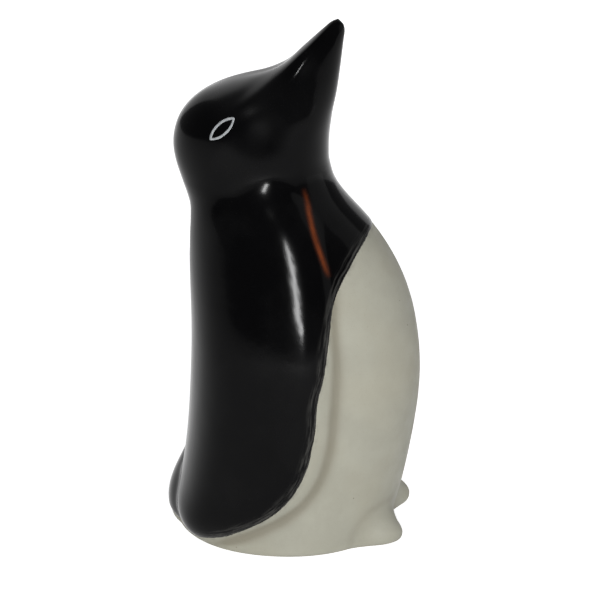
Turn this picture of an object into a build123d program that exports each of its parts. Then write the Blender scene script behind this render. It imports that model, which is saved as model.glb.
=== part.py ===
"""Penguin figurine standing with its bill raised, in millimetres.

A hollow cast body and head meet in a lapped neck joint.
Two wings, a tail and two feet are luted on with pegs.
One coat of black glaze lies over the head, back, wings and tail, with a pale line let into it for each eye.
+Z is up, the bird faces -Y, its right side is at -X, and the origin is under the middle on the standing face.
"""
import os
from math import copysign, cos, pi, sin

from build123d import *

# Wall, coat and fits
wall = 4.5
floor_thickness = 6.0
coat = 0.4
slip_gap = 0.15
base_bevel = 0.8

# Body outline: rise above the section below, then reach in front, reach behind and half width
base_front = 29.0
base_back = 33.5
base_half = 29.6
shin_rise = 18.0
shin_front = 33.6
shin_back = 31.0
shin_half = 28.6
belly_rise = 28.0
belly_front = 37.2
belly_back = 27.1
belly_half = 27.8
chest_rise = 22.0
chest_front = 34.6
chest_back = 27.8
chest_half = 25.4
breast_rise = 16.0
breast_front = 27.8
breast_back = 27.6
breast_half = 21.4
collar_rise = 12.0
collar_front = 18.4
collar_back = 27.8
collar_half = 19.6
neck_rise = 8.0
neck_front = 11.9
neck_back = 30.5
neck_half = 18.2

# Head outline: the same, and how much higher a section's back is than its throat point
nape_rise = 7.0
nape_lean = 1.0
nape_front = 10.4
nape_back = 32.8
nape_half = 18.2
cheek_rise = 5.0
cheek_lean = 3.5
cheek_front = 10.4
cheek_back = 32.4
cheek_half = 18.3
brow_rise = 4.0
brow_lean = 5.8
brow_front = 10.7
brow_back = 28.3
brow_half = 17.6
crown_rise = 4.0
crown_lean = 6.6
crown_front = 11.2
crown_back = 20.5
crown_half = 15.6
forehead_rise = 3.5
forehead_lean = 5.4
forehead_front = 12.0
forehead_back = 11.4
forehead_half = 12.8

# Bill outline, where the back point is on the ridge and lies in front of the middle
bill_root_rise = 4.0
bill_root_lean = 4.0
bill_root_front = 12.7
bill_root_back = 3.5
bill_root_half = 9.8
bill_rise = 7.0
bill_lean = 2.3
bill_front = 13.5
bill_back = -2.6
bill_half = 6.8
bill_end_rise = 6.5
bill_end_lean = 1.2
bill_end_front = 14.3
bill_end_back = -8.2
bill_end_half = 3.8
bill_tip_rise = 3.0
bill_tip_lean = 0.7
bill_tip_front = 14.3
bill_tip_back = -10.9
bill_tip_half = 1.9
tip_rise = 1.6
tip_reach = 12.9

# Wings: one cloak form, cut in two along the back, standing out of the body by these sizes
back_gap = 14.0
wing_lift = 1.2
wing_foot_front = -8.0
wing_foot_draw = 3.5
wing_foot_tuck = 4.0
wing_low_height = 13.0
wing_low_front = 7.6
wing_low_wrap = 1.6
wing_low_stand = 2.4
wing_shin_rise = 10.0
wing_shin_front = 16.4
wing_shin_draw = 0.9
wing_edge_rise = 12.0
wing_edge_front = 18.6
wing_edge_ease = 0.4
wing_breast_front = 15.2
wing_collar_front = 10.2
wing_top_front = 4.2
wing_top_draw = 4.0
wing_top_tuck = 2.0
wing_thickness = 3.2
wing_wrap = 1.2

# Tail and feet: rounded lumps whose tops lie nearer to the body than their widest level
tail_root = 20.0
tail_stand = 2.9
tail_half = 17.5
tail_height = 24.0
foot_spread = 12.5
foot_root = 22.0
foot_stand = 5.4
foot_half = 7.6
foot_height = 10.5
lump_lean = 6.0

# Pegs, neck joint and vent
peg_diameter = 5.0
peg_depth = 2.4
peg_root = 1.0
foot_peg_inset = 3.0
wing_peg_rise = 8.0
neck_lap = 6.0
vent_diameter = 12.0

# Edge of the black glaze in side view, with heights above or below the body's sections
bib_front = 26.0
bib_wing_front = 14.4
bib_wing_drop = 6.0
glaze_edge_front = 11.6
glaze_edge_drop = 11.0
glaze_low_front = 6.6
glaze_low_rise = 10.0
glaze_turn_back = 8.0
glaze_turn_height = 10.8
glaze_foot_back = 24.0
glaze_foot_height = 2.4

# Eye lines
eye_back = 16.9
eye_rise = 2.4
eye_length = 9.6
eye_width = 3.7
eye_slope = 43.0
line_width = 0.8
line_depth = 0.25

# Section shapes: a power of two is an ellipse, a higher one is blunter
body_power = 2.1
crown_power = 2.4
throat_power = 1.75
forehead_power = 3.2
bill_power = 4.5
bill_end_power = 3.2
bill_tip_power = 2.4
wing_power = 4.5
section_points = 12
form_steps = 9

# Heights of the sections on the front
shin_height = shin_rise
belly_height = shin_height + belly_rise
chest_height = belly_height + chest_rise
breast_height = chest_height + breast_rise
collar_height = breast_height + collar_rise
neck_height = collar_height + neck_rise
nape_height = neck_height + nape_rise
cheek_height = nape_height + cheek_rise
brow_height = cheek_height + brow_rise
crown_height = brow_height + crown_rise
forehead_height = crown_height + forehead_rise
bill_root_height = forehead_height + bill_root_rise
bill_height = bill_root_height + bill_rise
bill_end_height = bill_height + bill_end_rise
bill_tip_height = bill_end_height + bill_tip_rise
clay_height = bill_tip_height + tip_rise
tail_reach = base_back + tail_stand
foot_reach = base_front + foot_stand

trunk_heights = [0, shin_height, belly_height, chest_height, breast_height, collar_height, neck_height]
trunk_fronts = [base_front, shin_front, belly_front, chest_front, breast_front, collar_front, neck_front]
trunk_backs = [base_back, shin_back, belly_back, chest_back, breast_back, collar_back, neck_back]
trunk_halves = [base_half, shin_half, belly_half, chest_half, breast_half, collar_half, neck_half]
wing_heights = [
    wing_lift, wing_low_height, shin_height + wing_shin_rise, belly_height + wing_edge_rise,
    breast_height, collar_height, nape_height,
]
wing_fronts = [
    wing_foot_front, wing_low_front, wing_shin_front, wing_edge_front,
    wing_breast_front, wing_collar_front, wing_top_front,
]
wing_backs = [
    base_back - wing_foot_draw, shin_back + wing_low_wrap, shin_back - wing_shin_draw, belly_back + wing_wrap,
    breast_back + wing_wrap, collar_back + wing_wrap / 2, nape_back - wing_top_draw,
]
wing_halves = [
    base_half - wing_foot_tuck, shin_half + wing_low_stand, shin_half + wing_thickness,
    belly_half + wing_thickness - wing_edge_ease, breast_half + wing_thickness,
    collar_half + wing_thickness / 2, nape_half - wing_top_tuck,
]


def smooth(heights, values, at):
    """Value at one height on a smooth curve through the values given."""
    slopes = []
    last = len(heights) - 1
    for here in range(len(heights)):
        low = max(here - 1, 0)
        high = min(here + 1, last)
        slopes.append((values[high] - values[low]) / (heights[high] - heights[low]))
    here = 0
    while here < last - 1 and at > heights[here + 1]:
        here += 1
    gap = heights[here + 1] - heights[here]
    t = (at - heights[here]) / gap
    start = (1 + 2 * t) * (1 - t) ** 2 * values[here] + t * (1 - t) ** 2 * gap * slopes[here]
    end = t**2 * (3 - 2 * t) * values[here + 1] + t**2 * (t - 1) * gap * slopes[here + 1]
    return start + end


def outline(length, half, front_power, back_power):
    """Points of a closed section, blunter than an ellipse where a power is over two."""
    points = []
    for step in range(section_points):
        angle = pi / 2 + 2 * pi * step / section_points
        across = cos(angle)
        along = sin(angle)
        power = back_power if along > 0 else front_power
        x = copysign(abs(across) ** (2 / power), across) * half
        y = copysign(abs(along) ** (2 / power), along) * length / 2
        points.append((x, y))
    return points


def section(front, height, back, lean, half, grow, front_power=body_power, back_power=body_power):
    """A flat face from the front point up to the back point, with its edge moved outward by the growth."""
    run = back + front
    length = (run**2 + lean**2) ** 0.5
    middle = (0, (back - front) / 2, height + lean / 2)
    plane = Plane(middle, x_dir=(1, 0, 0), z_dir=(0, -lean / length, run / length))
    with BuildSketch(plane) as face:
        with BuildLine():
            Spline(*outline(length + 2 * grow, half + grow, front_power, back_power), periodic=True)
        make_face()
    return face.sketch


def trunk_section(height, grow):
    """A level section of the body."""
    front = smooth(trunk_heights, trunk_fronts, height)
    back = smooth(trunk_heights, trunk_backs, height)
    half = smooth(trunk_heights, trunk_halves, height)
    return section(front, height, back, 0, half, grow)


def trunk_sections(grow, lowest):
    """Evenly spaced level sections from the lowest height up to the neck."""
    gap = (neck_height - lowest) / form_steps
    return [trunk_section(lowest + gap * step, grow) for step in range(form_steps + 1)]


def head_sections(grow):
    """Sections fanned round the throat, from the nape to the crown."""
    return [
        section(nape_front, nape_height, nape_back, nape_lean, nape_half, grow),
        section(cheek_front, cheek_height, cheek_back, cheek_lean, cheek_half, grow),
        section(brow_front, brow_height, brow_back, brow_lean, brow_half, grow),
        section(crown_front, crown_height, crown_back, crown_lean, crown_half, grow, body_power, crown_power),
    ]


def bill_sections(grow):
    """Sections of the raised bill, flatter along its ridge."""
    rows = [
        (forehead_front, forehead_height, forehead_back, forehead_lean, forehead_half, forehead_power),
        (bill_root_front, bill_root_height, bill_root_back, bill_root_lean, bill_root_half, bill_power),
        (bill_front, bill_height, bill_back, bill_lean, bill_half, bill_power),
        (bill_end_front, bill_end_height, bill_end_back, bill_end_lean, bill_end_half, bill_end_power),
        (bill_tip_front, bill_tip_height, bill_tip_back, bill_tip_lean, bill_tip_half, bill_tip_power),
    ]
    faces = []
    for front, height, back, lean, half, ridge_power in rows:
        faces.append(section(front, height, back, lean, half, grow, throat_power, ridge_power))
    return faces


def whole_form(grow):
    """The smooth outside of body, head and bill."""
    with BuildPart() as form:
        tip = Vertex(0, -tip_reach, clay_height + grow)
        loft(sections=[*trunk_sections(grow, base_bevel), *head_sections(grow), *bill_sections(grow), tip])
        loft(sections=[trunk_section(0, grow - base_bevel), trunk_section(base_bevel, grow)], ruled=True)
    return form.part


def hollow_form(inset):
    """The inside of the casting, closed under the crown."""
    with BuildPart() as form:
        loft(sections=[*trunk_sections(-inset, floor_thickness), *head_sections(-inset)])
    return form.part


def cloak_form(grow):
    """Both wings in one form, blunt in front so that each stands out of the body as a rounded edge."""
    gap = (nape_height - wing_lift) / form_steps
    faces = []
    for step in range(form_steps + 1):
        height = wing_lift + gap * step
        front = smooth(wing_heights, wing_fronts, height)
        back = smooth(wing_heights, wing_backs, height)
        half = smooth(wing_heights, wing_halves, height)
        faces.append(section(front, height, back, 0, half, grow, wing_power))
    with BuildPart() as form:
        loft(sections=faces)
    return form.part


def lump_form(root, reach, half, height, grow):
    """A rounded lump on the standing face, longest a third of the way up."""
    with BuildPart() as form:
        for share, width, lean in [(0, 0.94, 1 / 6), (1 / 3, 1, 0), (2 / 3, 0.8, 7 / 15), (1, 0.36, 1)]:
            length = abs(reach - root) - lean * lump_lean + grow
            with BuildSketch(Plane.XY.offset(height * share)):
                with Locations((0, root)):
                    Ellipse(half * width + grow, length)
        loft()
    return form.part


outer = whole_form(0)
skin = whole_form(coat)
groove_bed = whole_form(coat - line_depth)
hollow = hollow_form(wall)
lap_inside = hollow_form(wall / 2 + slip_gap)
lap_outside = hollow_form(wall / 2)
cloak = cloak_form(0)
cloak_skin = cloak_form(coat)
tail_lump = lump_form(tail_root, tail_reach, tail_half, tail_height, 0)
tail_skin = lump_form(tail_root, tail_reach, tail_half, tail_height, coat)
foot_lump = lump_form(-foot_root, -foot_reach, foot_half, foot_height, 0)

peg_radius = peg_diameter / 2
socket_radius = peg_radius + slip_gap
low_peg_height = floor_thickness / 2
wing_peg_height = belly_height + wing_peg_rise
wing_peg_end = belly_half - peg_depth
tail_peg_end = base_back - peg_depth
foot_peg_end = base_front - foot_peg_inset - peg_depth
slope = eye_slope * pi / 180
eye_plane = Plane((0, eye_back, brow_height + eye_rise), x_dir=(0, cos(slope), -sin(slope)), z_dir=(1, 0, 0))
pupil_length = eye_length - 3 * line_width
pupil_width = eye_width - 2 * line_width

with BuildPart() as right_wing:
    add(cloak)
    split(bisect_by=Plane.YZ.offset(-back_gap / 2), keep=Keep.BOTTOM)
    add(outer, mode=Mode.SUBTRACT)
    add(tail_lump, mode=Mode.SUBTRACT)
    with BuildSketch(Plane.YZ.offset(-wing_peg_end)):
        with Locations((0, wing_peg_height)):
            Circle(peg_radius)
    extrude(amount=-peg_depth - peg_root)
right_wing.part.label = "right_wing"

with BuildPart() as left_wing:
    add(cloak)
    split(bisect_by=Plane.YZ.offset(back_gap / 2), keep=Keep.TOP)
    add(outer, mode=Mode.SUBTRACT)
    add(tail_lump, mode=Mode.SUBTRACT)
    with BuildSketch(Plane.YZ.offset(wing_peg_end)):
        with Locations((0, wing_peg_height)):
            Circle(peg_radius)
    extrude(amount=peg_depth + peg_root)
left_wing.part.label = "left_wing"

with BuildPart() as tail:
    add(tail_lump)
    add(outer, mode=Mode.SUBTRACT)
    with BuildSketch(Plane.XZ.offset(-tail_peg_end)):
        with Locations((0, low_peg_height)):
            Circle(peg_radius)
    extrude(amount=-peg_depth - peg_root)
tail.part.label = "tail"

with BuildPart() as right_foot:
    with Locations((-foot_spread, 0, 0)):
        add(foot_lump)
    add(outer, mode=Mode.SUBTRACT)
    with BuildSketch(Plane.XZ.offset(foot_peg_end)):
        with Locations((-foot_spread, low_peg_height)):
            Circle(peg_radius)
    extrude(amount=peg_depth + 2 * peg_root)
right_foot.part.label = "right_foot"

with BuildPart() as left_foot:
    with Locations((foot_spread, 0, 0)):
        add(foot_lump)
    add(outer, mode=Mode.SUBTRACT)
    with BuildSketch(Plane.XZ.offset(foot_peg_end)):
        with Locations((foot_spread, low_peg_height)):
            Circle(peg_radius)
    extrude(amount=peg_depth + 2 * peg_root)
left_foot.part.label = "left_foot"

with BuildPart() as body_shell:
    add(outer)
    split(bisect_by=Plane.XY.offset(neck_height), keep=Keep.BOTTOM)
    with BuildSketch(Plane.XY.offset(neck_height)):
        Rectangle(4 * neck_half, 4 * neck_back)
    lap = extrude(amount=neck_lap, mode=Mode.PRIVATE) & lap_inside
    add(lap)
    add(hollow, mode=Mode.SUBTRACT)
    with BuildSketch():
        Circle(vent_diameter / 2)
    extrude(amount=2 * floor_thickness, mode=Mode.SUBTRACT)
    for side in (-1, 1):
        with BuildSketch(Plane.YZ.offset(side * (wing_peg_end - slip_gap))):
            with Locations((0, wing_peg_height)):
                Circle(socket_radius)
        extrude(amount=side * 2 * peg_depth, mode=Mode.SUBTRACT)
        with BuildSketch(Plane.XZ.offset(foot_peg_end - slip_gap)):
            with Locations((side * foot_spread, low_peg_height)):
                Circle(socket_radius)
        extrude(amount=2 * peg_depth + foot_peg_inset, mode=Mode.SUBTRACT)
    with BuildSketch(Plane.XZ.offset(slip_gap - tail_peg_end)):
        with Locations((0, low_peg_height)):
            Circle(socket_radius)
    extrude(amount=-2 * peg_depth, mode=Mode.SUBTRACT)
body_shell.part.label = "body_shell"

with BuildPart() as head_shell:
    add(outer)
    split(bisect_by=Plane.XY.offset(neck_height), keep=Keep.TOP)
    with BuildSketch(Plane.XY.offset(neck_height)):
        Rectangle(4 * neck_half, 4 * neck_back)
    lap = extrude(amount=neck_lap + slip_gap, mode=Mode.PRIVATE) & lap_outside
    add(lap, mode=Mode.SUBTRACT)
    add(hollow, mode=Mode.SUBTRACT)
head_shell.part.label = "head_shell"

with BuildPart() as right_eye_line:
    with BuildSketch(eye_plane):
        with BuildLine():
            ThreePointArc((-eye_length / 2, 0), (0, eye_width / 2), (eye_length / 2, 0))
            ThreePointArc((-eye_length / 2, 0), (0, -eye_width / 2), (eye_length / 2, 0))
        make_face()
        with BuildLine():
            ThreePointArc((-pupil_length / 2, 0), (0, pupil_width / 2), (pupil_length / 2, 0))
            ThreePointArc((-pupil_length / 2, 0), (0, -pupil_width / 2), (pupil_length / 2, 0))
        make_face(mode=Mode.SUBTRACT)
    extrude(amount=-2 * cheek_half)
    add(skin, mode=Mode.INTERSECT)
    add(groove_bed, mode=Mode.SUBTRACT)
right_eye_line.part.label = "right_eye_line"

with BuildPart() as left_eye_line:
    with BuildSketch(eye_plane):
        with BuildLine():
            ThreePointArc((-eye_length / 2, 0), (0, eye_width / 2), (eye_length / 2, 0))
            ThreePointArc((-eye_length / 2, 0), (0, -eye_width / 2), (eye_length / 2, 0))
        make_face()
        with BuildLine():
            ThreePointArc((-pupil_length / 2, 0), (0, pupil_width / 2), (pupil_length / 2, 0))
            ThreePointArc((-pupil_length / 2, 0), (0, -pupil_width / 2), (pupil_length / 2, 0))
        make_face(mode=Mode.SUBTRACT)
    extrude(amount=2 * cheek_half)
    add(skin, mode=Mode.INTERSECT)
    add(groove_bed, mode=Mode.SUBTRACT)
left_eye_line.part.label = "left_eye_line"

with BuildPart() as wing_skins:
    add(cloak_skin)
    with BuildSketch(Plane.XY):
        Rectangle(back_gap - 2 * coat, 4 * base_back)
    extrude(amount=clay_height, mode=Mode.SUBTRACT)

with BuildPart() as wing_cores:
    add(cloak)
    with BuildSketch(Plane.XY):
        Rectangle(back_gap, 4 * base_back)
    extrude(amount=clay_height, mode=Mode.SUBTRACT)

with BuildPart() as black_glaze:
    add([skin, wing_skins.part, tail_skin])
    add([outer, wing_cores.part, tail_lump], mode=Mode.SUBTRACT)
    with BuildSketch(Plane.YZ):
        with BuildLine():
            Spline(
                (-bib_front, collar_height),
                (-bib_wing_front, breast_height - bib_wing_drop),
                (-glaze_edge_front, chest_height - glaze_edge_drop),
                (-glaze_low_front, shin_height + glaze_low_rise),
                (glaze_turn_back, glaze_turn_height),
                (glaze_foot_back, glaze_foot_height),
            )
            Polyline(
                (glaze_foot_back, glaze_foot_height),
                (2 * tail_reach, glaze_foot_height),
                (2 * tail_reach, 2 * clay_height),
                (-bib_front, 2 * clay_height),
                (-bib_front, collar_height),
            )
        make_face()
    extrude(amount=2 * base_half, both=True, mode=Mode.INTERSECT)
    add([right_eye_line.part, left_eye_line.part], mode=Mode.SUBTRACT)
black_glaze.part.label = "black_glaze"

os.makedirs("parts", exist_ok=True)
export_step(body_shell.part, "parts/body_shell.step")
export_step(head_shell.part, "parts/head_shell.step")
export_step(right_wing.part, "parts/right_wing.step")
export_step(left_wing.part, "parts/left_wing.step")
export_step(tail.part, "parts/tail.step")
export_step(right_foot.part, "parts/right_foot.step")
export_step(left_foot.part, "parts/left_foot.step")
export_step(black_glaze.part, "parts/black_glaze.step")
export_step(right_eye_line.part, "parts/right_eye_line.step")
export_step(left_eye_line.part, "parts/left_eye_line.step")
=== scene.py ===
"""Looks of the penguin figurine, in metres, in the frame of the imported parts.

+Z is up, the bird faces -Y and its right side is at -X. The clay and glaze surfaces are measured
from the parts on one grid of rings, softened where pieces are luted together, and cut into one
closed mesh per piece.
"""
import math

import bpy
import numpy as np
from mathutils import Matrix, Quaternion, Vector, noise
from mathutils.bvhtree import BVHTree


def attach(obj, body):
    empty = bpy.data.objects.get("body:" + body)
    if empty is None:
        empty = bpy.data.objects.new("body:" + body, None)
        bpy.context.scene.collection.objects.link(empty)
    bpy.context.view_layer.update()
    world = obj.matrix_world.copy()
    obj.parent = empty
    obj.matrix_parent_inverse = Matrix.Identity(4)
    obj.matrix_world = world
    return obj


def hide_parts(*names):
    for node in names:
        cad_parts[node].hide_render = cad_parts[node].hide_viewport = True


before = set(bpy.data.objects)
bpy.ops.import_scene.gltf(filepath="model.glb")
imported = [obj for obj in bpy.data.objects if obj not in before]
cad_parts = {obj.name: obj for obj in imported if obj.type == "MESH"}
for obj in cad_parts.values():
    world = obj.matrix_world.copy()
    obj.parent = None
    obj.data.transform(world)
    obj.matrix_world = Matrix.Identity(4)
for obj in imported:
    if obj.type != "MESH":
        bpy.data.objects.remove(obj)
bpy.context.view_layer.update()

MM = 0.001

# Camera, fitted to the photograph
CAMERA_AZIMUTH = math.radians(-83)
CAMERA_ELEVATION = math.radians(20)
CAMERA_DISTANCE = 0.62
CAMERA_TARGET = Vector((0, -0.0024, 0.0676))
CAMERA_LENS = 129.66
CAMERA_CLIP = 0.01

# Grid of rings: the spine's place behind the middle and height in millimetres, its tilt in degrees
TRUNK_SPINE = [(1, 0), (0, 20), (-2, 46), (0, 75), (5, 95), (9, 104)]
HEAD_SPINE = [
    (9, 104, 0), (11, 111, 7), (10.5, 117, 17), (8, 122.5, 27), (4.5, 127.5, 34), (0, 131.3, 38),
    (-4.4, 135.2, 36), (-8.2, 140.5, 30), (-11, 145.4, 25), (-12.5, 148.2, 22), (-12.87, 149.4, 22),
]
BILL_TIP = (0, -12.9, 149.6)
COLUMNS = 264
RING_GAP = 0.69
BASE_ROUND = 0.8
BASE_STEPS = (0, 0.15, 0.45)
TIP_STEPS = (0.75, 0.5, 0.25, 0)
NECK_HEIGHT = 104.0
END_LIFT = 0.02
REACH = 0.09

# Peg sockets in the body, filled level: their height, how deep a dent counts and its smoothing
SOCKET_TOP = 66.0
SOCKET_DEPTH = 0.25
SOCKET_CELLS = 6
SOCKET_PASSES = 300

# Brow: its edge from the bill's ridge to the eye in side view and its stand-out, in millimetres
BROW_EDGE = [
    (-10.4, 147.5, 0.1), (-7.4, 145.0, 1.1), (-3.1, 141.1, 1.7), (2.7, 136.0, 1.1),
    (7.0, 131.8, 1.0), (11.2, 128.3, 0.7), (15.0, 126.3, 0.2), (18.5, 125.0, 0.0),
]
BROW_FACE = 9.0
BROW_FALL = 2.4
BROW_HOLLOW = 0.45
BROW_HOLLOW_PLACE = 1.1
BROW_HOLLOW_SPREAD = 0.6
BROW_FACE_POWER = 1.7
BROW_STEPS = 90
BROW_BLUR = 1.0
BROW_SIDES = (0.4, 0.8)

# Softening, in cells of the grid, and where it starts and is full, in millimetres
CREASE_BLUR = 1.3
CREASE_REACH = 3.0
CREASE_GAIN = 3.0
SHOULDER_BLUR = 6.0
SHOULDER_GAIN = 4.0
SHOULDER_HEIGHT = (94, 102)
STREAK_CLEAR = (2, 8)
STREAK_STEPS = 30
FOOT_BLUR = 3.2
FOOT_GAIN = 4.0
CROWN_BLUR = 2.5
CROWN_BLUR_ROUND = 9
CROWN_START = (108, 114)
CROWN_END = (148, 145)

# Clay, in millimetres; an unevenness has the size of its features and a seed
LEAST_RADIUS = 0.05
OWNED = 0.05
FEATHER = 0.02
SINK = 0.25
SURFACE_UNEVEN = 0.05
COARSE_UNEVEN = (16, 1.7)
FINE_UNEVEN = (6, 5.2)
UNEVEN_START = 3
# Painted shade in the clay's hollows: its blur in cells, the depth of full shade, the height where
# it starts, and the share taken off near the feet
HOLLOW_BLUR = 2.5
HOLLOW_DEPTH = 0.24
HOLLOW_START = 2
FEET_UNSHADED = 0.7
LUTED_MARGIN = 3
OWNER_PASSES = 6
CORNER_PASSES = 8
WALL = 4.5
BILL_CORE = 0.15
TIP_DEPTH = 1.5
FLOOR_THICKNESS = 6.0
INSIDE_START = 3
INSIDE_SKIP = 4
INNER_FLOOR = [(1, 1.5), (0.9, 0.3), (0.7, 0), (0.4, 0)]
STANDING_SHARES = (0.15, 0.35, 0.6, 0.8, 0.93)
SPIGOT_TOP = 110.0
SPIGOT_RISES = (0.05, 3)
SPIGOT_ROUND = 0.3
VENT_RADIUS = 6.0
VENT_ROUND = 0.5

# Black coat, in millimetres
COAT = 0.36
COAT_EDGE = 0.55
COAT_UNDER = 0.12
COAT_MARGIN = 1.9
COAT_DIP = 0.35
COAT_DIP_REACH = 1.2
COAT_DIP_UNDER = 1.4

# Edge of the black in side view: place behind the middle and height, in millimetres
BLACK_EDGE = [
    (-27, 97), (-22.7, 90.8), (-18.9, 85), (-15.1, 77), (-13.5, 65.4), (-12.6, 57.1), (-11, 48),
    (-10, 37.5), (-8, 28.4), (-5.3, 22.2), (-0.2, 15.8), (6.8, 10.3), (14, 6), (24, 2.4),
]
BLACK_EDGE_BACK = 60
BLACK_EDGE_STEPS = 160
BLACK_EDGE_LEAD = 3
BLACK_EDGE_LEAD_STEPS = 8
EDGE_WAVER = 0.35
EDGE_WAVER_NOISE = (9, 3.1)
EDGE_RIPPLE = 0.1
EDGE_RIPPLE_NOISE = (2.2, 8.4)
STEEPEST_SLANT = 0.15
FAR_FROM_BLACK = -20.0

# Painted warm reflection, streaked along the right shoulder's crease, in side view, in millimetres
REFLECTION_PATH = [(-4.7, 105.6), (-8.2, 94.6), (-12.9, 81.9)]
REFLECTION_HALF_WIDTH = 0.46
REFLECTION_TAPER = (0.25, 0.15)
REFLECTION_STEPS = 60

# Where the glaze is duller, on the cheeks, and softer, on the crown, in side view, in millimetres
CHEEK = (7.0, 121.5)
CHEEK_SPREAD = 8.0
CROWN = (12.0, 134.0)
CROWN_SPREAD = 10.0

# Eye lines, in millimetres
EYE_CENTRE = (16.9, 122.4)
EYE_LENGTH = 9.6
EYE_WIDTH = 3.7
EYE_SLOPE = math.radians(43)
EYE_LINE = 0.8
EYE_STEPS = 144
EYE_BOW = (2.2, 0.9)
EYE_WOBBLE = 0.22
EYE_WOBBLE_SCALE = 0.7
EYE_WOBBLE_SEED = 4.0
EYE_MEAN_WIDTH = 0.92
EYE_PROFILE = [(-0.5, -0.12), (-0.42, 0.0), (-0.2, 0.045), (0.2, 0.045), (0.42, 0.0), (0.5, -0.12)]

# Colours, linear
CLAY_DARK = (0.337, 0.331, 0.272)
CLAY_LIGHT = (0.361, 0.355, 0.294)
CLAY_WARM = (0.35, 0.332, 0.257)
CLAY_SPECK = (0.24, 0.225, 0.17)
CLAY_GRAIN = (0.085, 0.07, 0.045)
# Painted shade darkening the clay's creases and hollows
PAINTED_CREASE_SHADE = (0.16, 0.142, 0.10)
BLACK_SMEAR = (0.15, 0.145, 0.125)
GLAZE_DARK = (0.0012, 0.0012, 0.0014)
GLAZE_LIGHT = (0.0026, 0.0026, 0.0028)
GLAZE_RIM = (0.06, 0.059, 0.055)
# Painted warm reflection along the right shoulder's crease
PAINTED_REFLECTION = (0.16, 0.034, 0.008)
LINE_DARK = (0.26, 0.275, 0.285)
LINE_LIGHT = (0.36, 0.375, 0.385)
FLOOR_GREY = (0.75, 0.75, 0.75, 1)
WORLD_GREY = (0.18, 0.18, 0.185, 1)

# Bumps in the materials: features per metre, detail, and depth in metres
CLAY_BUMPS = [(130, 2, 0.00012), (1500, 2, 0.00003)]
GLAZE_BUMPS = [(70, 1, 0.00006), (900, 2, 0.000005)]
LINE_BUMPS = [(1800, 2, 0.00003)]

# Floor and lamps, in metres and watts: a lamp's name, place, width, height, power, roll in degrees
FLOOR_RADIUS = 20.0
FLOOR_STEPS = 96
FLOOR_BELOW = 0.00002
FLOOR_GLOW = 0.8
LAMP_AIM = Vector((0, 0, 0.07))
LAMPS = [
    ("key_beside_camera", (-0.89, -0.14, 0.24), 0.08, 0.26, 6.3, 52),
    ("small_above_key", (-0.75, 0.12, 0.60), 0.05, 0.05, 0.9, 0),
    ("front_fill", (0.2, -1.15, 0.5), 1.0, 1.0, 2.0, 0),
    ("far_back", (0.85, 0.12, 0.55), 1.5, 1.1, 4.2, 0),
]


def hermite(keys, values, at):
    """Values at the given places on a smooth curve through the keys."""
    keys = np.asarray(keys, float)
    values = np.asarray(values, float)
    slopes = np.gradient(values, keys)
    here = np.clip(np.searchsorted(keys, at) - 1, 0, len(keys) - 2)
    gap = keys[here + 1] - keys[here]
    t = (at - keys[here]) / gap
    start = (1 + 2 * t) * (1 - t) ** 2 * values[here] + t * (1 - t) ** 2 * gap * slopes[here]
    return start + t**2 * (3 - 2 * t) * values[here + 1] + t**2 * (t - 1) * gap * slopes[here + 1]


def ramp(values, start, end):
    """Share of the way from the start to the end, held between 0 and 1."""
    return np.clip((values - start) / (end - start), 0, 1)


def chord_lengths(points):
    """Running length along a row of points."""
    steps = np.linalg.norm(np.diff(np.asarray(points, float), axis=0), axis=1)
    return np.concatenate([[0], np.cumsum(steps)])


def curve(points, count):
    """A smooth row of so many points through the points given."""
    points = np.array(points, float)
    run = chord_lengths(points)
    along = np.linspace(0, run[-1], count)
    return np.stack([hermite(run, values, along) for values in points.T], axis=1)


def ring_stations():
    """Place, height and tilt of every ring, closer together at the rounded base edge."""
    base = BASE_ROUND * np.array(BASE_STEPS)
    count = round((NECK_HEIGHT - BASE_ROUND) / RING_GAP)
    heights = np.concatenate([base, np.linspace(BASE_ROUND, NECK_HEIGHT, count + 1)])
    trunk = np.array(TRUNK_SPINE, float)
    places = hermite(trunk[:, 1], trunk[:, 0], heights)
    head = np.array(HEAD_SPINE, float)
    run = chord_lengths(head[:, :2])
    along = np.linspace(0, run[-1], round(run[-1] / RING_GAP) + 1)[1:]
    ending = run[-1] - RING_GAP * np.array(TIP_STEPS)
    along = np.concatenate([along[:-1], ending])
    place = np.concatenate([places, hermite(run, head[:, 0], along)])
    height = np.concatenate([heights, hermite(run, head[:, 1], along)])
    tilt = np.concatenate([np.zeros(len(heights)), hermite(run, head[:, 2], along)])
    return place, height, np.radians(tilt), len(heights)


ring_place, ring_height, ring_tilt, trunk_rings = ring_stations()
rings = len(ring_place)
angles = 2 * math.pi * np.arange(COLUMNS) / COLUMNS
centres = np.stack([np.zeros(rings), ring_place, ring_height], axis=1) * MM
level_out = np.stack([np.zeros(rings), np.cos(ring_tilt), np.sin(ring_tilt)], axis=1)
outward = np.cos(angles)[None, :, None] * level_out[:, None, :]
outward[:, :, 0] += np.sin(angles)[None, :]


def tree_of(*names):
    """One search tree over the named parts."""
    points = []
    faces = []
    for name in names:
        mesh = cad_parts[name].data
        first = len(points)
        points.extend(v.co.copy() for v in mesh.vertices)
        faces.extend([first + v for v in p.vertices] for p in mesh.polygons)
    return BVHTree.FromPolygons(points, faces)


def measured(tree, lift):
    """Outside radius in millimetres on every ring and column, or -1 where there is none."""
    radius = np.full((rings, COLUMNS), -1.0)
    for ring in range(rings):
        centre = Vector(centres[ring] + (0, 0, lift[ring] * MM))
        for column in range(COLUMNS):
            away = Vector(outward[ring, column])
            hit, _, _, distance = tree.ray_cast(centre + away * REACH, -away, REACH)
            if hit is not None:
                radius[ring, column] = (REACH - distance) / MM
    return radius


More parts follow.
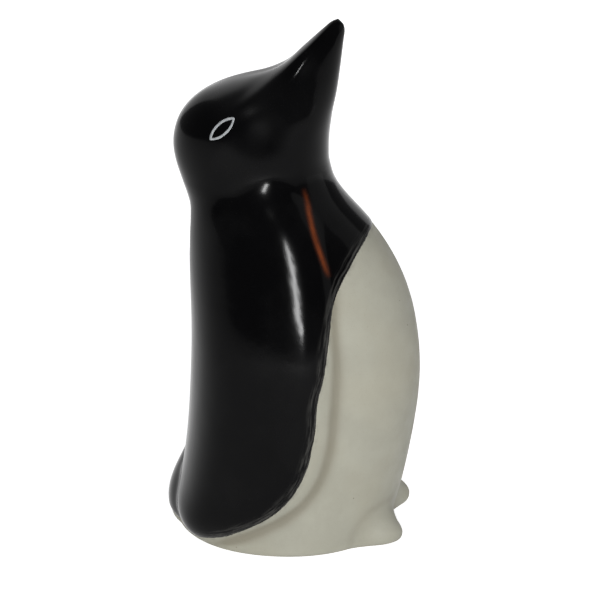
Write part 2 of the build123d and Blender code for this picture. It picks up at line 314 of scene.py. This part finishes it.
def neighbours(field, axis, size):
    """The field shifted by each step up to the size, held at the spine's ends and closed round."""
    mode = "edge" if axis == 0 else "wrap"
    pad = [(size, size), (0, 0)] if axis == 0 else [(0, 0), (size, size)]
    wide = np.pad(field, pad, mode=mode)
    length = field.shape[axis]
    steps = range(2 * size + 1)
    return [np.take(wide, range(step, step + length), axis=axis) for step in steps]


def window(field, size, choose):
    """Largest or smallest value within a square window of cells."""
    for axis in (0, 1):
        field = choose.reduce(neighbours(field, axis, size))
    return field


def blurred(field, cells, columns=None):
    """Gaussian blur by so many cells along the spine, and by as many or more round the rings."""
    for axis, spread in ((0, cells), (1, columns or cells)):
        size = int(math.ceil(3 * spread))
        weights = np.exp(-0.5 * (np.arange(-size, size + 1) / spread) ** 2)
        weights /= weights.sum()
        field = sum(w * row for w, row in zip(weights, neighbours(field, axis, size)))
    return field


def nearness(mask, cells, gain):
    """How near every corner is to the masked ones, from 0 to 1."""
    return np.clip(gain * blurred(mask, cells), 0, 1)


def without_sockets(field):
    """The body's outside with the peg sockets under the luted pieces filled level."""
    closed = window(window(field, SOCKET_CELLS, np.maximum), SOCKET_CELLS, np.minimum)
    dent = window(((closed - field) > SOCKET_DEPTH).astype(float), 1, np.maximum) > 0
    dent &= (ring_height < SOCKET_TOP)[:, None]
    field = np.where(dent, closed, field)
    for _ in range(SOCKET_PASSES):
        up = np.pad(field, [(1, 1), (0, 0)], mode="edge")
        middle = (up[:-2] + up[2:] + np.roll(field, 1, axis=1) + np.roll(field, -1, axis=1)) / 4
        field = np.where(dent, middle, field)
    return field


side_shift = np.zeros((rings, COLUMNS))


def place_on(radius):
    """Points of the grid at the given radii in millimetres, drawn out sideways along the brow."""
    points = centres[:, None, :] + outward * (radius * MM)[:, :, None]
    points[:, :, 0] += side_shift * MM
    return points


def uneven(points, size, seed):
    """Smooth noise from -1 to 1 at the points, with features of the given size in millimetres."""
    flat = points.reshape(-1, 3) / (size * MM)
    values = [noise.noise(Vector(p) + Vector((seed, 2 * seed, 3 * seed))) for p in flat]
    return np.array(values).reshape(points.shape[:-1])


def from_line(points, line):
    """Side-view distance from a line, positive on its left, the way from it and the place on it."""
    flat = points.reshape(-1, 3)[:, 1:] / MM
    best = np.full(len(flat), 1e9)
    signed = np.zeros(len(flat))
    place = np.zeros(len(flat))
    away = np.zeros((len(flat), 2))
    for number, (start, end) in enumerate(zip(line[:-1], line[1:])):
        step = end - start
        share = np.clip(((flat - start) @ step) / (step @ step), 0, 1)
        gap = flat - (start + share[:, None] * step)
        length = np.linalg.norm(gap, axis=1)
        side = np.sign(step[0] * (flat[:, 1] - start[1]) - step[1] * (flat[:, 0] - start[0]))
        nearer = length < best
        best[nearer] = length[nearer]
        signed[nearer] = (side * length)[nearer]
        place[nearer] = (number + share)[nearer]
        away[nearer] = gap[nearer] / np.maximum(length[nearer], 1e-9)[:, None]
    shape = points.shape[:2]
    return signed.reshape(shape), away, place.reshape(shape)


def brow_stand(points):
    """How far the brow and the face below it are drawn out sideways, in millimetres."""
    line = curve(BROW_EDGE, BROW_STEPS)
    above, _, place = from_line(points, line[:, :2])
    stand = np.interp(place, np.arange(len(line)), line[:, 2])
    fall = np.clip(1 - above / BROW_FALL, 0, 1)
    face = np.clip(1 + above / BROW_FACE, 0, 1)
    from_hollow = (above - BROW_HOLLOW_PLACE * BROW_FALL) / (BROW_HOLLOW_SPREAD * BROW_FALL)
    hollow = BROW_HOLLOW * np.exp(-(from_hollow**2))
    sideways = ramp(np.abs(outward[:, :, 0]), *BROW_SIDES)
    shape = np.where(above > 0, fall**2 * (3 - 2 * fall), face**BROW_FACE_POWER) - hollow
    return stand * shape * sideways**2 * (3 - 2 * sideways)


# Measure the parts: a hair inside each piece's end, so that no ray runs along a flat face
lift = np.zeros(rings)
lift[0] = END_LIFT
lift[trunk_rings - 1] = -END_LIFT
bare = without_sockets(measured(tree_of("body_shell", "head_shell"), lift))
wing_reach = measured(tree_of("right_wing", "left_wing"), lift)
tail_reach = measured(tree_of("tail"), lift)
foot_reach = measured(tree_of("right_foot", "left_foot"), lift)
bare[bare < 0] = LEAST_RADIUS
crown = ramp(ring_height, *CROWN_START) * ramp(ring_height, *CROWN_END)
bare = bare + (blurred(bare, CROWN_BLUR, CROWN_BLUR_ROUND) - bare) * crown[:, None]
brow = brow_stand(place_on(bare))
brow[:trunk_rings] = 0
side_shift = blurred(brow, BROW_BLUR) * np.sign(outward[:, :, 0])

# Round the base edge within the part's bevel
first_full = int(np.searchsorted(ring_height, BASE_ROUND))
below = np.clip(BASE_ROUND - ring_height, 0, BASE_ROUND)
inset = BASE_ROUND - np.sqrt(BASE_ROUND**2 - below**2)
bare[:first_full] = bare[first_full] - inset[:first_full, None]

# Soften the union of the pieces along its creases
BODY, WING, TAIL, FOOT = range(4)
union = np.max([bare, wing_reach, tail_reach, foot_reach], axis=0)
owner = np.zeros(union.shape, int)
for kind, reach in ((WING, wing_reach), (TAIL, tail_reach), (FOOT, foot_reach)):
    owner[(reach > bare + OWNED) & (reach >= union)] = kind
rounded = union[:first_full] - inset[:first_full, None] * (owner[:first_full] != BODY)
union[:first_full] = np.maximum(rounded, bare[:first_full])
border = (window(owner, 1, np.maximum) != window(owner, 1, np.minimum)).astype(float)
near_crease = nearness(border, CREASE_REACH, CREASE_GAIN)
bumps = 0.5 * uneven(place_on(bare), *COARSE_UNEVEN) + 0.5 * uneven(place_on(bare), *FINE_UNEVEN)
unevenness = SURFACE_UNEVEN * (bumps - 1)
unevenness *= ramp(ring_height, BASE_ROUND, BASE_ROUND + UNEVEN_START)[:, None]
softened = union + (blurred(union, CREASE_BLUR) - union) * near_crease
from_streak, _, _ = from_line(place_on(union), curve(REFLECTION_PATH, STREAK_STEPS))
shoulder = ramp(ring_height, *SHOULDER_HEIGHT)[:, None] * ramp(np.abs(from_streak), *STREAK_CLEAR)
shoulder *= nearness(border, SHOULDER_BLUR, SHOULDER_GAIN)
softened = softened + (blurred(union, SHOULDER_BLUR) - softened) * shoulder
feet = (window(owner, 1, np.maximum) == FOOT) & (border > 0)
near_feet = nearness(feet.astype(float), FOOT_BLUR, FOOT_GAIN)
softened = softened + (blurred(union, FOOT_BLUR) - softened) * near_feet
bare = bare + unevenness
clay = np.maximum(softened + unevenness, bare)
clay_points = place_on(clay)


def grid_normals(points):
    """Outward unit normals of a grid of points."""
    up = np.gradient(points, axis=0)
    wide = np.concatenate([points[:, -1:], points, points[:, :1]], axis=1)
    across = (wide[:, 2:] - wide[:, :-2]) / 2
    normals = np.cross(up, across)
    return normals / np.maximum(np.linalg.norm(normals, axis=2, keepdims=True), 1e-12)


def black_distance(points, normals):
    """Distance in millimetres along the surface from the edge of the black, positive inside it."""
    line = curve(BLACK_EDGE, BLACK_EDGE_STEPS)
    lead = line[0] + BLACK_EDGE_LEAD * (line[0] - line[BLACK_EDGE_LEAD_STEPS])
    line = np.concatenate([[lead], line, [(BLACK_EDGE_BACK, line[-1, 1])]])
    signed, away, place = from_line(points, line)
    along = np.interp(place, np.arange(len(line)), chord_lengths(line))
    slant = (away * normals.reshape(-1, 3)[:, 1:]).sum(axis=1).reshape(signed.shape)
    signed = signed + EDGE_WAVER * uneven(points, *EDGE_WAVER_NOISE)
    signed = signed + EDGE_RIPPLE * uneven(points, *EDGE_RIPPLE_NOISE)
    return signed / np.sqrt(np.clip(1 - slant**2, STEEPEST_SLANT, 1)), along


clay_normals = grid_normals(clay_points)
black_edge, along_edge = black_distance(clay_points, clay_normals)
# Painted shade: how hollow the clay is, to darken the creases, faded out at the base and near the
# feet
hollowness = ramp(blurred(clay, HOLLOW_BLUR) - clay, 0, HOLLOW_DEPTH)
hollowness *= ramp(ring_height, 0, HOLLOW_START)[:, None] * (1 - FEET_UNSHADED * near_feet)


def painted_reflection_mask(points):
    """Strength of the painted warm reflection along the right shoulder's crease."""
    line = curve(REFLECTION_PATH, REFLECTION_STEPS)
    gap, _, place = from_line(points, line)
    share = place / (len(line) - 1)
    taper = np.clip(np.minimum(share / REFLECTION_TAPER[0], (1 - share) / REFLECTION_TAPER[1]), 0, 1)
    return np.where(points[:, :, 0] < 0, np.exp(-((gap / REFLECTION_HALF_WIDTH) ** 2)) * taper, 0)


def spot_mask(points, centre, spread):
    """A spot in side view that fades out beyond its spread."""
    gap = np.linalg.norm(points[:, :, 1:] / MM - centre, axis=2)
    return np.exp(-((gap / spread) ** 4))


def made_object(name, points, faces, material, attributes=None):
    """A smooth-shaded mesh object from points and faces."""
    mesh = bpy.data.meshes.new(name)
    mesh.from_pydata([tuple(p) for p in points], [], [tuple(int(v) for v in f) for f in faces])
    mesh.validate()
    mesh.shade_smooth()
    for label, values in (attributes or {}).items():
        layer = mesh.attributes.new(label, "FLOAT", "POINT")
        layer.data.foreach_set("value", np.asarray(values, np.float32))
    mesh.materials.append(material)
    made = bpy.data.objects.new(name, mesh)
    bpy.context.scene.collection.objects.link(made)
    return made


def without_corners(cells):
    """The same cells with no two that meet only at a corner."""
    cells = cells.copy()
    for _ in range(CORNER_PASSES):
        right = np.roll(cells, -1, axis=1)
        lower, upper = cells[:-1], cells[1:]
        lower_right, upper_right = right[:-1], right[1:]
        rising = lower & upper_right & ~upper & ~lower_right
        falling = upper & lower_right & ~lower & ~upper_right
        if not rising.any() and not falling.any():
            break
        cells[1:] |= rising
        cells[:-1] |= falling
    return cells


def closed_patch(name, cells, inner, outer, material, attributes, tips=None):
    """A closed piece between two sets of grid points over the cells, ending in tips if given."""
    cells = without_corners(cells)
    corner = np.arange(rings * COLUMNS).reshape(rings, COLUMNS)
    ring, column = np.nonzero(cells)
    after = (column + 1) % COLUMNS
    around = ((ring, column), (ring + 1, column), (ring + 1, after), (ring, after))
    quads = np.stack([corner[place] for place in around], 1)
    used = np.unique(quads)
    index = np.full(rings * COLUMNS, -1)
    index[used] = np.arange(len(used))
    count = len(used)
    points = [outer.reshape(-1, 3)[used], inner.reshape(-1, 3)[used]]
    faces = [index[quads], index[quads][:, ::-1] + count]
    beyond = np.zeros((rings + 1, COLUMNS), bool)
    beyond[1:-1] = cells
    open_left = ~np.roll(cells, 1, axis=1)[ring, column]
    open_right = ~np.roll(cells, -1, axis=1)[ring, column]
    open_below = ~beyond[ring, column]
    open_above = ~beyond[ring + 2, column]
    if tips is not None:
        open_above &= ring < rings - 2
    for edge, (first, second) in zip(
        (open_left, open_above, open_right, open_below), ((0, 1), (1, 2), (2, 3), (3, 0))
    ):
        one = index[quads[edge, first]]
        two = index[quads[edge, second]]
        faces.append(np.stack([two, one, one + count, two + count], 1))
    extra = 0
    faces = [face for group in faces for face in group]
    if tips is not None:
        points.append(np.array(tips))
        top = index[corner[rings - 1]]
        outer_tip, inner_tip = 2 * count, 2 * count + 1
        for here in range(COLUMNS):
            there = (here + 1) % COLUMNS
            faces.append((top[here], outer_tip, top[there]))
            faces.append((top[there] + count, inner_tip, top[here] + count))
        extra = 2
    values = {}
    for label, field in attributes.items():
        chosen = field.reshape(-1)[used]
        values[label] = np.concatenate([chosen, chosen, np.full(extra, chosen[-1])])
    return made_object(name, np.concatenate(points), faces, material, values)


def new_material(name):
    """A material with its shader, and short ways to add nodes and links."""
    material = bpy.data.materials.new(name)
    material.use_nodes = True
    tree = material.node_tree
    shader = tree.nodes["Principled BSDF"]

    def node(kind, **settings):
        made = tree.nodes.new("ShaderNode" + kind)
        for key, value in settings.items():
            setattr(made, key, value)
        return made

    return material, shader, node, tree.links.new


def object_noise(node, link, scale, detail=3.0, roughness=0.55, stretch=None):
    """Noise fixed to the piece, with the scale in features per metre."""
    place = node("TexCoord").outputs["Object"]
    if stretch is not None:
        mapping = node("Mapping")
        mapping.inputs["Scale"].default_value = stretch
        link(place, mapping.inputs["Vector"])
        place = mapping.outputs["Vector"]
    made = node("TexNoise")
    made.inputs["Scale"].default_value = scale
    made.inputs["Detail"].default_value = detail
    made.inputs["Roughness"].default_value = roughness
    link(place, made.inputs["Vector"])
    return made.outputs["Fac"]


def stepped(node, link, source, low, high, bottom=0.0, top=1.0):
    """The source mapped from one range to another, smoothly and held at both ends."""
    made = node("MapRange", interpolation_type="SMOOTHSTEP")
    sockets = ("From Min", "From Max", "To Min", "To Max")
    for socket, value in zip(sockets, (low, high, bottom, top)):
        made.inputs[socket].default_value = value
    link(source, made.inputs["Value"])
    return made.outputs["Result"]


def times(node, link, one, two):
    """The product of two values, the second a socket or a number."""
    made = node("Math", operation="MULTIPLY")
    link(one, made.inputs[0])
    if isinstance(two, (int, float)):
        made.inputs[1].default_value = two
    else:
        link(two, made.inputs[1])
    return made.outputs[0]


def topped(node, link, source, share, base):
    """A base value with a share of the source added, held between 0 and 1."""
    made = node("Math", operation="MULTIPLY_ADD", use_clamp=True)
    link(source, made.inputs[0])
    made.inputs[1].default_value = share
    link(base, made.inputs[2])
    return made.outputs[0]


def tinted(node, link, share, under, over):
    """A colour that goes from one to another with the share; each is a colour or a socket."""
    made = node("Mix", data_type="RGBA")
    link(share, made.inputs["Factor"])
    for socket, colour in ((made.inputs[6], under), (made.inputs[7], over)):
        if isinstance(colour, tuple):
            socket.default_value = (*colour, 1)
        else:
            link(colour, socket)
    return made.outputs[2]


def bumped(node, link, shader, layers):
    """Bump from several layers of noise, each laid over the one before."""
    normal = None
    for scale, detail, depth in layers:
        made = node("Bump")
        made.inputs["Distance"].default_value = depth
        link(object_noise(node, link, scale, detail), made.inputs["Height"])
        if normal is not None:
            link(normal, made.inputs["Normal"])
        normal = made.outputs["Normal"]
    link(normal, shader.inputs["Normal"])


def clay_material():
    """Satin off-white clay: mottled, with fine specks, and painted shade darkening the creases."""
    material, shader, node, link = new_material("pale_clay")
    mottle = stepped(node, link, object_noise(node, link, 110, 4), 0.35, 0.68)
    colour = tinted(node, link, mottle, CLAY_DARK, CLAY_LIGHT)
    cloud = stepped(node, link, object_noise(node, link, 38, 2), 0.42, 0.7)
    colour = tinted(node, link, times(node, link, cloud, 0.4), colour, CLAY_WARM)
    specks = stepped(node, link, object_noise(node, link, 2300, 1), 0.66, 0.74)
    colour = tinted(node, link, times(node, link, specks, 0.22), colour, CLAY_SPECK)
    grains = stepped(node, link, object_noise(node, link, 800, 0), 0.875, 0.9)
    colour = tinted(node, link, times(node, link, grains, 0.75), colour, CLAY_GRAIN)
    # Painted shade darkening the creases and hollows
    crease = node("Attribute", attribute_name="crease").outputs["Fac"]
    colour = tinted(node, link, times(node, link, crease, 0.6), colour, PAINTED_CREASE_SHADE)
    edge = node("Attribute", attribute_name="edge").outputs["Fac"]
    beside_black = stepped(node, link, edge, -1.7, -0.1)
    patchy = stepped(node, link, object_noise(node, link, 300, 3), 0.45, 0.75)
    smear = times(node, link, beside_black, patchy)
    colour = tinted(node, link, times(node, link, smear, 0.6), colour, BLACK_SMEAR)
    link(colour, shader.inputs["Base Color"])
    satin = stepped(node, link, object_noise(node, link, 240, 3), 0.3, 0.7, 0.5, 0.66)
    link(satin, shader.inputs["Roughness"])
    shader.inputs["Specular IOR Level"].default_value = 0.35
    bumped(node, link, shader, CLAY_BUMPS)
    return material


def glaze_material():
    """Gloss black glaze, dull on the cheeks, with a thin brushed rim and one painted warm
    reflection along the shoulder crease.
    """
    material, shader, node, link = new_material("black_glaze")
    labels = ("edge", "along", "warm_reflection", "dull", "soft")
    sources = [node("Attribute", attribute_name=label) for label in labels]
    edge, along, warm_reflection, dull, soft = (source.outputs["Fac"] for source in sources)
    cloud = stepped(node, link, object_noise(node, link, 60, 3), 0.4, 0.7)
    colour = tinted(node, link, cloud, GLAZE_DARK, GLAZE_LIGHT)
    stroke = node("CombineXYZ")
    link(edge, stroke.inputs["X"])
    link(times(node, link, along, 0.07), stroke.inputs["Y"])
    strokes = node("TexNoise")
    strokes.inputs["Scale"].default_value = 1.5
    strokes.inputs["Detail"].default_value = 4.0
    strokes.inputs["Roughness"].default_value = 0.65
    link(stroke.outputs[0], strokes.inputs["Vector"])
    brushed = stepped(node, link, strokes.outputs["Fac"], 0.42, 0.66)
    rim = times(node, link, stepped(node, link, edge, 3.4, 0.5), brushed)
    colour = tinted(node, link, times(node, link, rim, 0.9), colour, GLAZE_RIM)
    # Painted warm reflection, made streaky, along the right shoulder's crease
    streaks = object_noise(node, link, 700, 3, 0.6, (1.0, 1.0, 0.25))
    warm = times(node, link, warm_reflection, stepped(node, link, streaks, 0.2, 0.65, 0.55, 1.0))
    colour = tinted(node, link, warm, colour, PAINTED_REFLECTION)
    link(colour, shader.inputs["Base Color"])
    gloss = stepped(node, link, object_noise(node, link, 170, 3), 0.3, 0.75, 0.13, 0.15)
    for source, share in ((rim, 0.3), (dull, 0.2), (soft, 0.2)):
        gloss = topped(node, link, source, share, gloss)
    link(gloss, shader.inputs["Roughness"])
    shine = stepped(node, link, dull, 0.0, 1.0, 0.07, 0.008)
    link(topped(node, link, soft, 0.14, shine), shader.inputs["Specular IOR Level"])
    bumped(node, link, shader, GLAZE_BUMPS)
    return material


def eye_line_material():
    """Pale grey slip, a little uneven where the brush drew it."""
    material, shader, node, link = new_material("eye_line")
    drawn = stepped(node, link, object_noise(node, link, 900, 3), 0.3, 0.7)
    link(tinted(node, link, drawn, LINE_DARK, LINE_LIGHT), shader.inputs["Base Color"])
    chalky = stepped(node, link, object_noise(node, link, 1500, 2), 0.3, 0.7, 0.45, 0.6)
    link(chalky, shader.inputs["Roughness"])
    bumped(node, link, shader, LINE_BUMPS)
    return material


pale_clay = clay_material()
black = glaze_material()
pale_line = eye_line_material()


def finish_piece(piece, slot, *nodes):
    """Rides a piece on the figurine in place of its parts."""
    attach(piece, "root")
    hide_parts(*nodes)
    return piece


def ring_points(radius, place, height):
    """One level ring of points."""
    ring = np.zeros((COLUMNS, 3))
    ring[:, 0] = np.sin(angles) * radius
    ring[:, 1] = np.cos(angles) * radius + place
    ring[:, 2] = height
    return ring * MM


def spigot_rings():
    """Rings up the neck's spigot and over its top."""
    body_tree = tree_of("body_shell")
    place = ring_place[trunk_rings - 1]
    heights = [NECK_HEIGHT + rise for rise in SPIGOT_RISES] + [SPIGOT_TOP - SPIGOT_ROUND]
    made = []
    for height in heights:
        centre = Vector((0, place * MM, height * MM))
        radius = []
        for angle in angles:
            away = Vector((math.sin(angle), math.cos(angle), 0))
            _, _, _, distance = body_tree.ray_cast(centre + away * REACH, -away, REACH)
            radius.append((REACH - distance) / MM)
        radius = np.array(radius)
        made.append(ring_points(radius, place, height))
    made.append(ring_points(radius - SPIGOT_ROUND, place, SPIGOT_TOP))
    made.append(ring_points(radius - WALL / 2, place, SPIGOT_TOP))
    return made


def inside_rings():
    """Rings down the inside of the wall, over the inner floor and through the vent hole."""
    made = []
    for ring in range(trunk_rings - 1, 0, -INSIDE_SKIP):
        if ring_height[ring] > FLOOR_THICKNESS + INSIDE_START:
            made.append(ring_points(bare[ring] - WALL, ring_place[ring], ring_height[ring]))
    floor_ring = int(np.searchsorted(ring_height, FLOOR_THICKNESS))
    for share, height in INNER_FLOOR:
        reach = share * (bare[floor_ring] - WALL) + (1 - share) * VENT_RADIUS
        made.append(ring_points(reach, share * ring_place[floor_ring], FLOOR_THICKNESS + height))
    straight = (FLOOR_THICKNESS - VENT_ROUND, FLOOR_THICKNESS / 2, VENT_ROUND)
    vent = [(VENT_ROUND, FLOOR_THICKNESS), *((0, height) for height in straight), (VENT_ROUND, 0)]
    for spread, height in vent:
        made.append(ring_points(np.full(COLUMNS, VENT_RADIUS + spread), 0, height))
    return made


def standing_rings():
    """Rings from the vent hole out across the standing face."""
    made = []
    for share in STANDING_SHARES:
        reach = share * bare[0] + (1 - share) * VENT_RADIUS
        made.append(ring_points(reach, share * ring_place[0], 0))
    return made


def body_piece():
    """The hollow body as one closed run of rings, from the outside over the inside and back."""
    hidden = spigot_rings() + inside_rings() + standing_rings()
    run = list(place_on(bare)[:trunk_rings]) + hidden
    edge = np.full((len(run), COLUMNS), FAR_FROM_BLACK)
    edge[:trunk_rings] = black_edge[:trunk_rings]
    crease = np.zeros((len(run), COLUMNS))
    crease[:trunk_rings] = hollowness[:trunk_rings]
    faces = []
    for ring in range(len(run)):
        above = (ring + 1) % len(run)
        for column in range(COLUMNS):
            after = (column + 1) % COLUMNS
            corners = ((ring, column), (above, column), (above, after), (ring, after))
            faces.append(tuple(row * COLUMNS + place for row, place in corners))
    attributes = {"edge": edge.reshape(-1), "crease": crease.reshape(-1)}
    return made_object("body", np.concatenate(run), faces, pale_clay, attributes)


def grown(corners, cells):
    """The corners with a margin of so many cells all round."""
    return window(corners.astype(float), cells, np.maximum) > 0


def cells_of(corners):
    """Cells whose four corners are all chosen."""
    chosen = corners & np.roll(corners, -1, axis=1)
    return chosen[:-1] & chosen[1:]


def luted_piece(name, corners):
    """A piece luted to the body, feathered out under the surface where it ends."""
    corners = corners & (clay > bare + FEATHER)
    spread = grown(corners, LUTED_MARGIN)
    outer = clay - FEATHER
    outer = np.where(grown(corners, 1), outer, np.minimum(outer, bare - SINK / 2))
    rim = spread & ~grown(corners, LUTED_MARGIN - 1)
    outer = np.where(rim, bare - SINK + FEATHER, outer)
    inner = place_on(bare - SINK)
    attributes = {"edge": black_edge, "crease": hollowness}
    return closed_patch(name, cells_of(spread), inner, place_on(outer), pale_clay, attributes)


def nearest_owner():
    """Which luted piece each corner near one belongs to."""
    claimed = owner.copy()
    for _ in range(OWNER_PASSES):
        for shift, axis in ((1, 0), (-1, 0), (1, 1), (-1, 1)):
            moved = np.roll(claimed, shift, axis=axis)
            if axis == 0:
                moved[0 if shift == 1 else -1] = BODY
            claimed = np.where(claimed == BODY, moved, claimed)
    return claimed


claimed = nearest_owner()
right_half = clay_points[:, :, 0] < 0
finish_piece(body_piece(), "pale_clay", "body_shell")
for part, corners in (
    ("right_wing", (claimed == WING) & right_half), ("left_wing", (claimed == WING) & ~right_half),
    ("tail", claimed == TAIL),
    ("right_foot", (claimed == FOOT) & right_half), ("left_foot", (claimed == FOOT) & ~right_half),
):
    finish_piece(luted_piece(part + "_clay", corners), "pale_clay", part)


def glaze_piece():
    """The black coat: a closed skin, thin at its edge, that dips under the clay beyond it."""
    inside = np.clip(black_edge, 0, None)
    thickness = COAT * (1 - np.exp(-inside / COAT_EDGE))
    dip = np.clip(-black_edge, 0, COAT_DIP_REACH) * COAT_DIP
    outer = place_on(clay + thickness - dip)
    inner = place_on(clay - COAT_UNDER - COAT_DIP_UNDER * dip)
    tip = np.array(BILL_TIP)
    tips = [(tip + (0, 0, COAT)) * MM, (tip - (0, 0, COAT_UNDER)) * MM]
    # Attributes for the brushed rim, the painted warm reflection on the shoulder, and the duller
    # cheeks and softer crown
    attributes = {"edge": black_edge, "along": along_edge, "warm_reflection": painted_reflection_mask(clay_points)}
    attributes["dull"] = spot_mask(clay_points, CHEEK, CHEEK_SPREAD)
    attributes["soft"] = spot_mask(clay_points, CROWN, CROWN_SPREAD) * (1 - attributes["dull"])
    cells = cells_of(black_edge > -COAT_MARGIN)
    return closed_patch("black_coat", cells, inner, outer, black, attributes, tips)


def head_piece():
    """The head's clay, wholly under the coat: a thick shell that is solid in the bill."""
    cells = np.zeros((rings - 1, COLUMNS), bool)
    cells[trunk_rings - 1:] = True
    inner = place_on(np.maximum(clay - WALL, BILL_CORE * clay))
    outer = place_on(clay - FEATHER)
    tip = np.array(BILL_TIP)
    tips = [(tip - (0, 0, FEATHER)) * MM, (tip - (0, 0, TIP_DEPTH)) * MM]
    attributes = {"edge": black_edge, "crease": hollowness}
    return closed_patch("head_clay", cells, inner, outer, pale_clay, attributes, tips)


finish_piece(head_piece(), "pale_clay", "head_shell")
coat = finish_piece(glaze_piece(), "black_glaze", "black_glaze")


def eye_loop():
    """The almond's middle line round its centre and the way across it, in millimetres."""
    turns = 2 * math.pi * np.arange(EYE_STEPS) / EYE_STEPS
    across = np.cos(turns)
    bow = (1 - np.abs(across) ** EYE_BOW[0]) ** EYE_BOW[1]
    rise = np.sign(np.sin(turns)) * bow
    half_length = (EYE_LENGTH - EYE_LINE) / 2
    half_width = (EYE_WIDTH - EYE_LINE) / 2
    loop = np.stack([across * half_length, rise * half_width], axis=1)
    loop = (loop + np.roll(loop, 1, axis=0) + np.roll(loop, -1, axis=0)) / 3
    ahead = np.roll(loop, -1, axis=0) - np.roll(loop, 1, axis=0)
    ahead /= np.linalg.norm(ahead, axis=1, keepdims=True)
    return loop, np.stack([-ahead[:, 1], ahead[:, 0]], axis=1)


def eye_piece(name, side):
    """A thin almond ring drawn on the glaze, uneven in width."""
    points = [v.co.copy() for v in coat.data.vertices]
    skin = BVHTree.FromPolygons(points, [tuple(p.vertices) for p in coat.data.polygons])
    made = []
    for middle, beside in zip(*eye_loop()):
        spot = middle * EYE_WOBBLE_SCALE
        wobble = noise.noise(Vector((*spot, side * EYE_WOBBLE_SEED)))
        width = EYE_LINE * (EYE_MEAN_WIDTH + EYE_WOBBLE * wobble)
        for shift, stand in EYE_PROFILE:
            along, up = middle + beside * shift * width
            y = EYE_CENTRE[0] + along * math.cos(EYE_SLOPE) + up * math.sin(EYE_SLOPE)
            z = EYE_CENTRE[1] - along * math.sin(EYE_SLOPE) + up * math.cos(EYE_SLOPE)
            start = Vector((side * REACH, y * MM, z * MM))
            hit, normal, _, _ = skin.ray_cast(start, Vector((-side, 0, 0)), REACH)
            made.append(hit + normal * stand * MM)
    size = len(EYE_PROFILE)
    faces = []
    for step in range(EYE_STEPS):
        following = (step + 1) % EYE_STEPS
        for row in range(size):
            beyond = (row + 1) % size
            corners = ((step, row), (step, beyond), (following, beyond), (following, row))
            face = tuple(here * size + place for here, place in corners)
            faces.append(face if side < 0 else face[::-1])
    return made_object(name, made, faces, pale_line)


finish_piece(eye_piece("right_eye_ring", -1), "eye_line", "right_eye_line")
finish_piece(eye_piece("left_eye_ring", 1), "eye_line", "left_eye_line")


def floor_material():
    """White floor that takes a soft shadow and shows white to the camera and in reflections."""
    material, shader, node, link = new_material("floor_white")
    tree = material.node_tree
    tree.nodes.remove(shader)
    matte = node("BsdfDiffuse")
    matte.inputs["Color"].default_value = FLOOR_GREY
    glow = node("Emission")
    path = node("LightPath")
    seen = path.outputs["Is Camera Ray"]
    for kind in ("Is Glossy Ray", "Is Transmission Ray"):
        either = node("Math", operation="ADD", use_clamp=True)
        link(seen, either.inputs[0])
        link(path.outputs[kind], either.inputs[1])
        seen = either.outputs[0]
    link(times(node, link, seen, FLOOR_GLOW), glow.inputs["Strength"])
    total = node("AddShader")
    link(matte.outputs[0], total.inputs[0])
    link(glow.outputs[0], total.inputs[1])
    link(total.outputs[0], tree.nodes["Material Output"].inputs["Surface"])
    return material


def floor_piece():
    """A wide round floor under the standing face."""
    points = [(0, 0, -FLOOR_BELOW)]
    for step in range(FLOOR_STEPS):
        turn = 2 * math.pi * step / FLOOR_STEPS
        points.append((FLOOR_RADIUS * math.cos(turn), FLOOR_RADIUS * math.sin(turn), -FLOOR_BELOW))
    faces = [(0, step + 1, (step + 1) % FLOOR_STEPS + 1) for step in range(FLOOR_STEPS)]
    return made_object("floor", points, faces, floor_material())


floor_piece()


def softbox(name, place, width, height, power, roll):
    """An area light aimed at the middle of the figurine, rolled about its aim."""
    lamp = bpy.data.lights.new(name, "AREA")
    lamp.shape = "RECTANGLE"
    lamp.size = width
    lamp.size_y = height
    lamp.energy = power
    made = bpy.data.objects.new(name, lamp)
    made.location = place
    aim = (LAMP_AIM - Vector(place)).to_track_quat("-Z", "Y")
    made.rotation_euler = (aim @ Quaternion((0, 0, 1), math.radians(roll))).to_euler()
    bpy.context.scene.collection.objects.link(made)


for lamp in LAMPS:
    softbox(*lamp)

world = bpy.data.worlds.new("studio")
world.use_nodes = True
world.node_tree.nodes["Background"].inputs["Color"].default_value = WORLD_GREY
bpy.context.scene.world = world

scene = bpy.context.scene
scene.view_settings.view_transform = "Standard"
camera = bpy.data.objects.new("camera", bpy.data.cameras.new("camera"))
camera.data.lens = CAMERA_LENS
camera.data.clip_start = CAMERA_CLIP
back = Vector((
    math.sin(CAMERA_AZIMUTH) * math.cos(CAMERA_ELEVATION),
    -math.cos(CAMERA_AZIMUTH) * math.cos(CAMERA_ELEVATION),
    math.sin(CAMERA_ELEVATION),
))
camera.location = CAMERA_TARGET + back * CAMERA_DISTANCE
camera.rotation_euler = (-back).to_track_quat("-Z", "Y").to_euler()
scene.collection.objects.link(camera)
scene.camera = camera
